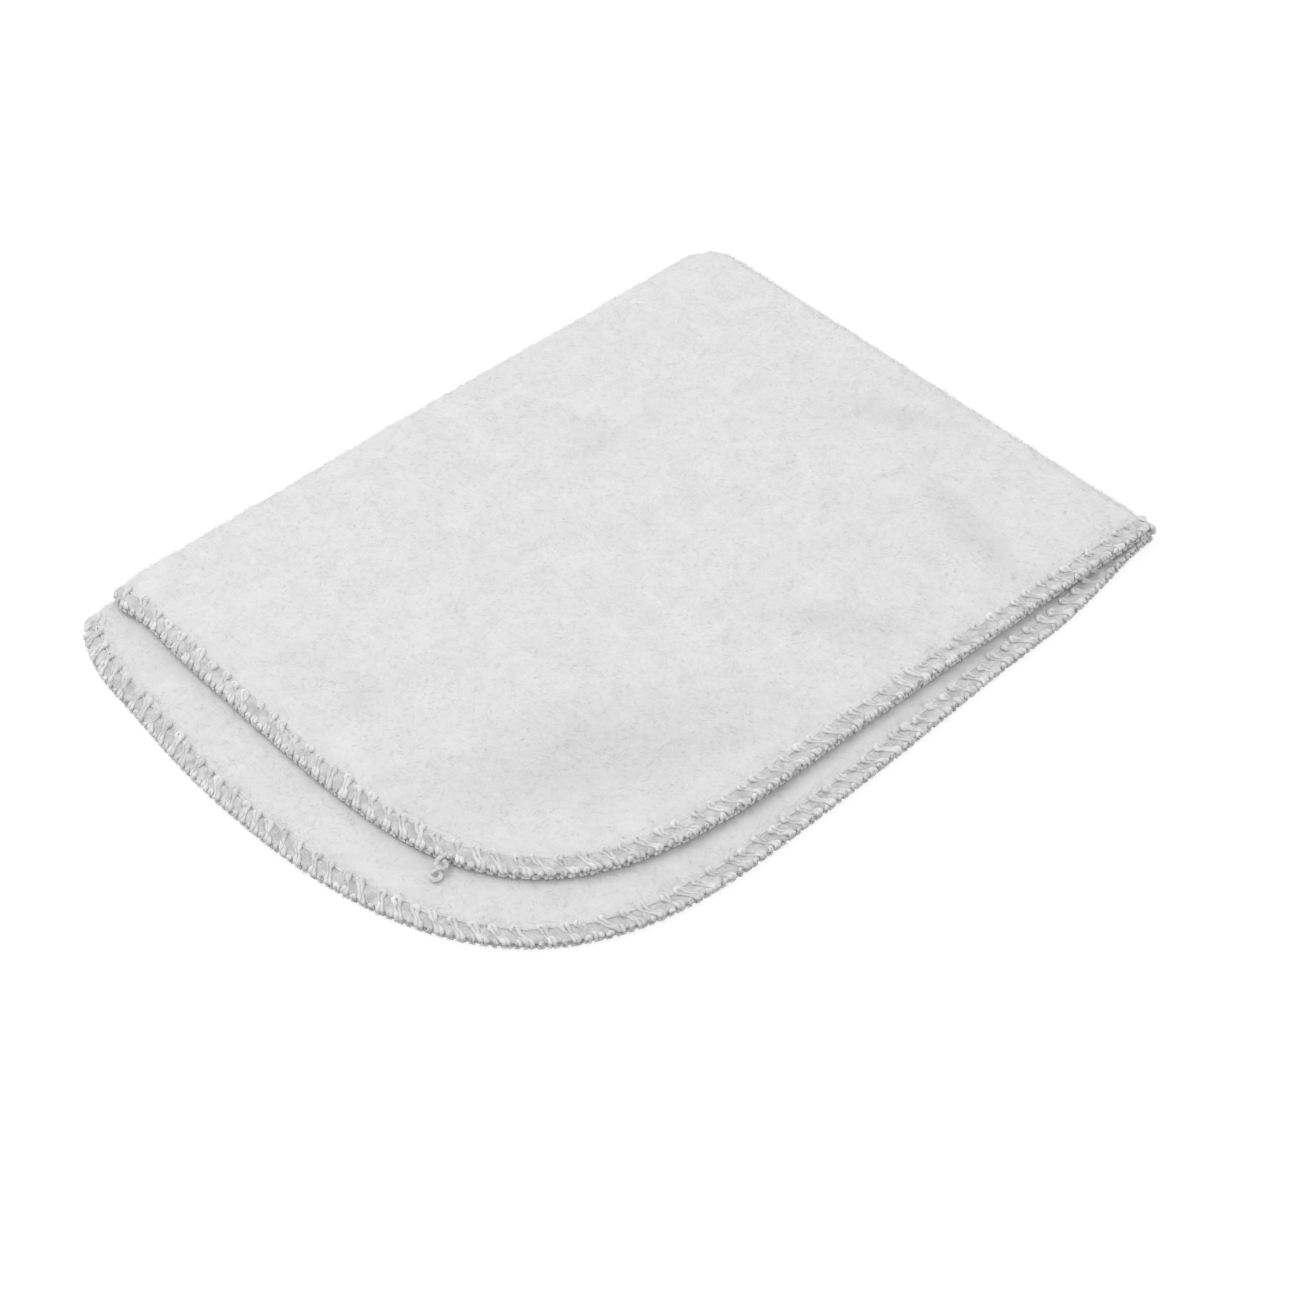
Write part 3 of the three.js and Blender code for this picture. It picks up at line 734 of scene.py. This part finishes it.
def add_fibres(name, roots, normals, body, length, lift, look, clump=None):
    """Fibres on both halves, which lean off the surface by lift and droop towards their tips.

    There are none where the cloth bends as the second fold opens."""
    for half in ("lower_half", "upper_half"):
        mask = body == half
        count = mask.sum()
        if count == 0:
            continue
        radius = rng.uniform(*fibre_radius, count)
        normal = normals[mask]
        a, b = sides_of(normal)
        if clump is None:
            turn = rng.uniform(0, 2 * math.pi, count)
        else:
            turn = clump[mask] + rng.normal(0, clump_spread, count)
        bend_turn = turn + rng.normal(0, bend_spread, count)
        fall = lift[mask] * rng.uniform(*fall_range, count)
        stretches = []
        for way, rise in ((turn[:, None], lift[mask, None]), (bend_turn[:, None], fall[:, None])):
            flat = a * np.cos(way) + b * np.sin(way)
            stretches.append((flat * np.cos(rise) + normal * np.sin(rise)) * length[mask, None] / 2)
        points, groups = fibre_mesh(roots[mask] - normal * root_depth, *stretches, radius)
        points[:, 2] = np.maximum(points[:, 2], least_height)
        finish(mesh_object(f"{name}_{half}", to_row(points), groups), half, look)


# The nap of each part of the cloth: how many fibres, how long the longest is in millimetres, and how
# far they lean off the cloth at most, in radians
nap_parts = {
    "nap_top_a": (19000, 2.2, 0.16), "nap_top_b": (19000, 1.5, 0.16), "nap_fold": (14000, 1.8, 1.0),
    "nap_strip": (6000, 2.0, 0.16), "nap_under": (6000, 2.0, 0.16),
}
nap_lengths = (0.4, 1.0)   # as shares of the longest
least_lean = 0.02
clump_turn = 4             # how far clumps turn either way, in radians
seam_nap_count = 26000
seam_nap_insets = (1.2, 5.2)
seam_nap_lengths = (0.5, 1.7)
seam_nap_leans = (0.05, 0.7)


def make_nap(face, normals, plan):
    """The flannel's nap: fibres over its outer face, most of them lying nearly flat."""
    corner = face[:-1, :-1]
    area = np.linalg.norm(np.cross(face[:-1, 1:] - corner, face[1:, :-1] - corner), axis=-1)
    rows, columns = np.indices(area.shape)
    outer, inner = rows < layer_rows, rows >= layer_rows + fold_steps
    lower, upper = columns < lower_count, columns >= upper_start
    fold = ~(outer | inner) | (columns >= lower_count - 1) & ~upper
    covered = upper_covers(*np.moveaxis(plan[:-1, :-1], -1, 0))
    chosen = {
        "nap_top_a": outer & upper, "nap_top_b": outer & upper, "nap_fold": fold,
        "nap_strip": inner & lower & ~covered, "nap_under": outer & lower,
    }
    for name, (count, longest, highest) in nap_parts.items():
        share = (area * (chosen[name] & (fold == (name == "nap_fold")))).ravel()
        picked = rng.choice(share.size, count, p=share / share.sum())
        r, c = np.unravel_index(picked, area.shape)
        u, v = rng.uniform(0, 1, (2, count, 1))
        root = (face[r, c] * (1 - u) + face[r, c + 1] * u) * (1 - v)
        root = root + (face[r + 1, c] * (1 - u) + face[r + 1, c + 1] * u) * v
        clump = clump_turn * clump_noise(plan[r, c, 0], plan[r, c, 1])
        lift = rng.uniform(least_lean, highest, count)
        length = rng.uniform(*nap_lengths, count) * longest
        body = np.where(c >= upper_start, "upper_half", off_hinge(root))
        body = np.where(c < lower_count, "lower_half", body)
        add_fibres(name, root, normals[r, c], body, length, lift, nap_look, clump)


def make_seam_nap():
    """Fibres that stand over the needle line from the nap beside it, on the outer face."""
    stitch = rng.uniform(0, stitch_count, seam_nap_count)
    inset = rng.uniform(*seam_nap_insets, seam_nap_count)
    point, inward, face, _ = on_path(stitch)
    root = point + inward * inset[:, None] + face * half_thickness(inset)[:, None]
    length = rng.uniform(*seam_nap_lengths, seam_nap_count)
    lift = rng.uniform(*seam_nap_leans, seam_nap_count)
    body = body_at(point)
    body = np.where(body == "turn", off_hinge(root), body)
    add_fibres("nap_seam", root, face, body, length, lift, nap_look)


def upper_covers(x, y):
    """Whether the upper pair covers places in plan, a little inside its edge."""
    beside, front = upper_edge.points[:2 * curve_points], upper_edge.points[curve_points:]
    at_depth = np.interp(-y, -beside[:, 1], beside[:, 0])
    at_width = np.interp(x, front[:, 0], front[:, 1])
    return (x > at_depth + uncovered_width) & (y > at_width + uncovered_width)


# Materials
blue_share = 0.997         # of the other two colours, so that the greys are a little warm


def grey(tone):
    return tone, tone, tone, 1


def set_inputs(tree, node, inputs):
    """Gives inputs of a node a value each, or another node's output."""
    for key, given in inputs.items():
        if isinstance(given, bpy.types.NodeSocket):
            tree.links.new(given, node.inputs[key])
        else:
            node.inputs[key].default_value = given


def add_node(tree, kind, inputs):
    node = tree.nodes.new("ShaderNode" + kind)
    set_inputs(tree, node, inputs)
    return node


def add_math(tree, operation, *values):
    node = tree.nodes.new("ShaderNodeMath")
    node.operation = operation
    set_inputs(tree, node, dict(enumerate(values)))
    return node.outputs[0]


def add_noise(tree, scale, detail, roughness, distortion):
    return add_node(tree, "TexNoise", {
        "Vector": add_node(tree, "TexCoord", {}).outputs["Object"],
        "Scale": scale, "Detail": detail, "Roughness": roughness, "Distortion": distortion,
    }).outputs["Fac"]


def greys_by(tree, value, low, dark, high, light):
    """A grey that goes from dark to light as the value goes from low to high."""
    ramp = add_node(tree, "ValToRGB", {"Fac": value})
    for element, position, tone in zip(ramp.color_ramp.elements, (low, high), (dark, light)):
        element.position = position
        element.color = (tone, tone, tone * blue_share, 1)
    return ramp.outputs["Color"]


def dent_shade_share(tree):
    """How much painted shade darkens the dents, from 0 to 1."""
    here = add_node(tree, "TexCoord", {}).outputs["Object"]
    total = 0.0
    for place_x, place_y, long, wide, degrees, _, painted_shade in dents:
        place = tree.nodes.new("ShaderNodeMapping")
        place.vector_type = "TEXTURE"
        set_inputs(tree, place, {
            "Vector": here,
            "Location": to_row((place_x, place_y, dent_shade_top)),
            "Rotation": (0, 0, math.radians(degrees)),
            "Scale": np.array([long * dent_shade_reach, wide * dent_shade_reach, dent_shade_rise]) * MM,
        })
        cone = add_node(tree, "TexGradient", {"Vector": place.outputs["Vector"]})
        cone.gradient_type = "SPHERICAL"
        eased = add_node(tree, "MapRange", {"Value": cone.outputs["Fac"], "To Max": painted_shade})
        eased.interpolation_type = "SMOOTHSTEP"
        total = add_math(tree, "ADD", total, eased.outputs["Result"])
    return total


def new_material(name, inputs):
    """A material, its node tree and its shader."""
    material = bpy.data.materials.new(name)
    material.use_nodes = True
    tree = material.node_tree
    shader = tree.nodes["Principled BSDF"]
    set_inputs(tree, shader, inputs)
    return material, tree, shader


def fibre_material(name, surface, light_depth, fine, coarse, greys, bump, bump_depth):
    """Matte fibres that let light in to a depth, greyed by two noises and bumped by the fine one."""
    material, tree, shader = new_material(name, surface)
    set_inputs(tree, shader, {
        "Subsurface Weight": 0.5, "Subsurface Radius": (1, 1, 1), "Subsurface Scale": light_depth * MM,
    })
    fibre = add_noise(tree, *fine[:4])
    patches = add_math(tree, "MULTIPLY", add_noise(tree, *coarse[:4]), coarse[4])
    colour = greys_by(tree, add_math(tree, "MULTIPLY_ADD", fibre, fine[4], patches), *greys)
    # Painted shade: the brushed cloth's grey is darkened in the dents
    if surface is brushed:
        inputs = {"Fac": dent_shade_share(tree), "Color1": colour, "Color2": grey(dent_shade_grey)}
        mix = add_node(tree, "MixRGB", inputs)
        mix.blend_type = "MULTIPLY"
        colour = mix.outputs["Color"]
    relief = add_node(tree, "Bump", {"Height": fibre, "Strength": bump, "Distance": bump_depth * MM})
    set_inputs(tree, shader, {"Base Color": colour, "Normal": relief.outputs["Normal"]})
    return material


# The brushed cloth and its nap, the threads, and the cloth pressed under them, whose darker greys are
# painted shade between the threads, each with the depth that light gets to, a fine and a coarse noise
# (scale, detail, roughness, distortion and share), the greys at a low and a high sum of them, and the bump's
# strength and depth
brushed = {"Roughness": 0.95, "Specular IOR Level": 0.15, "Sheen Weight": 0.3, "Sheen Roughness": 0.6}
pressed = {"Roughness": 0.95, "Specular IOR Level": 0.1}
spun = {"Roughness": 0.7, "Specular IOR Level": 0.25, "Sheen Weight": 0.3}
flannel_look, nap_look = [
    fibre_material(name, brushed, 0.8, (1300.0, 4.0, 0.72, 1.4, 0.45), (170.0, 3.0, 0.6, 0.8, 0.55),
                   (0.36, dark, 0.64, light), 0.35, 0.25)
    for name, dark, light in (("flannel", 0.715, 0.80), ("nap", 0.87, 0.94))
]
thread_look = fibre_material("thread", spun, 0.6, (2400.0, 3.0, 0.6, 0.5, 0.2), (430.0, 2.0, 0.5, 0.3, 0.8),
                             (0.38, 0.655, 0.62, 0.85), 0.3, 0.1)
# Its darker greys are painted shade between the threads
seam_shade_look = fibre_material("painted_shade_seam_flannel", pressed, 0.8, (1300.0, 3.0, 0.7, 1.0, 0.35),
                           (380.0, 2.0, 0.5, 0.6, 0.65), (0.38, 0.54, 0.62, 0.74), 0.35, 0.2)

# The camera, at the photograph's viewing angle
camera_place = (-358.34, -363.24, 391.46)
camera_azimuth, camera_elevation = math.radians(-43.19), math.radians(45.10)
lens = 80.3
sensor_width = 36.0


def look_along(data, place, back, right):
    """A camera or lamp at a place in metres that looks against back, with its own X along right."""
    obj = bpy.data.objects.new(data.name, data)
    turned = np.eye(4)
    turned[:3] = np.stack([right, np.cross(back, right), back, place], -1)
    obj.matrix_world = Matrix(turned.tolist())
    bpy.context.collection.objects.link(obj)
    return obj


def make_camera():
    data = bpy.data.cameras.new("camera")
    data.lens = lens
    data.sensor_width = sensor_width
    data.clip_start = 0.01
    sine, cosine, level = math.sin(camera_azimuth), math.cos(camera_azimuth), math.cos(camera_elevation)
    back = np.array([level * sine, -level * cosine, math.sin(camera_elevation)])
    right = np.array([cosine, sine, 0])
    bpy.context.scene.camera = look_along(data, to_row(camera_place), back, right)


make_camera()

flannel, face_grid, normal_grid, plan_grid = make_flannel()
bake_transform(flannel)
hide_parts("flannel_lower_half", "flannel_second_fold", "flannel_upper_half")

fuzz_lengths = (0.4, 1.2)
fuzz_leans = (0.1, 0.9)


def finish(piece, body, look):
    """Gives a piece its look, and puts it on its body, or leaves it unattached where it turns round the
    second fold.
    """
    piece.data.materials.append(look)
    if body == "turn":
        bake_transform(piece)
    else:
        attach(piece, body)


def add_thread(name, route):
    """Adds a thread, cut where the body that carries it changes, and returns its whole route."""
    points, normals, wide, high, body = route
    start = int(np.flatnonzero((body == "turn") & (np.roll(body, 1) != "turn"))[0])
    order = np.roll(np.arange(len(points)), -start)
    arc = arc_of(points[order])
    runs = np.split(np.arange(len(order)), np.flatnonzero(body[order][1:] != body[order][:-1]) + 1)
    counts = {}
    for run in runs:
        place = body[order[run[0]]]
        counts[place] = counts.get(place, 0) + 1
        span = np.arange(run[0], run[-1] + 2)
        chunk = order[span % len(order)]
        lengths = arc[np.minimum(span, len(order) - 1)]
        piece = make_yarn(f"{name}_{place}_{counts[place]}", *(x[chunk] for x in route[:4]), lengths)
        finish(piece, place, thread_look)
    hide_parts(*[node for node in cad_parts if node.startswith(name)])
    return points, normals, wide, high, np.where(body == "turn", off_hinge(points), body)


def add_fuzz(name, count, route):
    """Loose fibres that stand off a thread."""
    points, normals, wide, high, body = route
    at = rng.integers(0, len(points) - 1, count)
    along = unit(points[at + 1] - points[at])
    side, normal = unit(np.cross(along, normals[at])), unit(normals[at])
    turn = rng.uniform(0, math.pi, count)[:, None]
    cosine, sine = np.cos(turn), np.sin(turn)
    out = side * cosine + normal * sine
    root = points[at] + side * (cosine * wide[at, None]) + normal * (sine * high[at, None])
    length = rng.uniform(*fuzz_lengths, count)
    lift = rng.uniform(*fuzz_leans, count)
    add_fibres(f"{name}_fuzz", root, out, body[at], length, lift, thread_look)


clump_noise = PlanNoise(7.0)
for name, (*values, loose_fibres) in threads.items():
    add_fuzz(name, loose_fibres, add_thread(name, thread_route(*values)))
make_nap(face_grid, normal_grid, plan_grid)
make_seam_nap()

# The tail of the thread chain: two small loops that hang over the edge of the upper pair, as rows of
# place out from the edge, place along it and height
tail_share = 0.364
tail_rows = [
    (-0.6, 0.0, 4.6), (0.4, -0.5, 4.6), (1.2, -0.9, 4.2), (2.0, -0.7, 3.7), (2.5, 0.1, 3.4), (3.1, 0.8, 3.0),
    (3.9, 0.7, 2.9), (4.3, 0.0, 2.9), (3.9, -0.8, 2.9), (3.1, -0.7, 3.1), (2.5, 0.0, 4.0), (1.9, 0.8, 3.9),
    (1.2, 0.9, 4.0), (0.7, 0.2, 4.3),
]
tail_half_width = 0.44
tail_flatness = 0.85       # its height, as a share of its width
tail_points = 90
tail_fuzz = 400


def add_tail():
    start, inward = upper_edge.at(tail_share)
    rows = np.array(tail_rows)
    along = np.array([inward[1], -inward[0]])
    plan = start - inward * rows[:, :1] + along * rows[:, 1:2]
    controls = np.concatenate([plan, rows[:, 2:]], 1)
    last = len(rows) - 1
    t = np.linspace(0, last, tail_points)
    k = np.clip(np.floor(t).astype(int), 0, last - 1)
    around = [controls[np.clip(k + step, 0, last)] for step in (-1, 0, 1, 2)]
    points = curve_between(*around, (t - k)[:, None])
    wide = np.full(tail_points, tail_half_width)
    high = wide * tail_flatness
    normals = np.broadcast_to([0, 0, 1.0], points.shape)
    piece = make_yarn("thread_tail_yarn", points, normals, wide, high, arc_of(points))
    finish(piece, "upper_half", thread_look)
    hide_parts("thread_tail")
    return points, normals, wide, high, np.full(tail_points, "upper_half")


add_fuzz("thread_tail", tail_fuzz, add_tail())

# The stage: a floor and a sky that look white, and light the cloth a little less
floor_reach = 3.0
floor_base = 0.2           # the grey that takes the cloth's shade
floor_glow = 0.84          # added to it
floor_bounce = 0.6         # the grey by which it lights the cloth
sky_light = 0.81
lamp_size = 0.7
lamp_energy = 3.3
lamp_distance = 1.1
lamp_direction = (-0.24, 0.40, 1.0)


def by_sight(tree, hidden, seen, output):
    """Gives the output one shader, and another where it is seen directly, in gloss or through glass."""
    path = add_node(tree, "LightPath", {}).outputs
    direct = add_math(tree, "MAXIMUM", path["Is Camera Ray"], path["Is Glossy Ray"])
    direct = add_math(tree, "MAXIMUM", direct, path["Is Transmission Ray"])
    mix = add_node(tree, "MixShader", {0: direct, 1: hidden.outputs[0], 2: seen.outputs[0]})
    set_inputs(tree, tree.nodes[output], {"Surface": mix.outputs[0]})


def make_stage():
    corners = np.array([(-1, -1, 0), (1, -1, 0), (1, 1, 0), (-1, 1, 0)]) * floor_reach
    floor = mesh_object("floor", corners, [np.array([[0, 1, 2, 3]])])
    material, tree, shader = new_material("floor", {
        "Base Color": grey(floor_base), "Roughness": 1.0, "Specular IOR Level": 0.0,
    })
    glow = add_node(tree, "Emission", {"Strength": floor_glow})
    seen = add_node(tree, "AddShader", {0: shader.outputs[0], 1: glow.outputs[0]})
    plain = add_node(tree, "BsdfDiffuse", {"Color": grey(floor_bounce)})
    by_sight(tree, plain, seen, "Material Output")
    floor.data.materials.append(material)


def make_lights():
    world = bpy.data.worlds.new("studio")
    world.use_nodes = True
    tree = world.node_tree
    light = tree.nodes["Background"]
    set_inputs(tree, light, {"Strength": sky_light, "Color": grey(1)})
    white = add_node(tree, "Background", {"Strength": 1.0, "Color": grey(1)})
    by_sight(tree, light, white, "World Output")
    bpy.context.scene.world = world
    lamp = bpy.data.lights.new("softbox", "AREA")
    lamp.shape = "RECTANGLE"
    lamp.size = lamp.size_y = lamp_size
    lamp.energy = lamp_energy
    direction = unit(np.array(lamp_direction))
    right = unit(np.cross([0, 0, 1.0], direction))
    look_along(lamp, direction * lamp_distance, direction, right)


make_stage()
make_lights()
bpy.context.scene.view_settings.view_transform = "Standard"
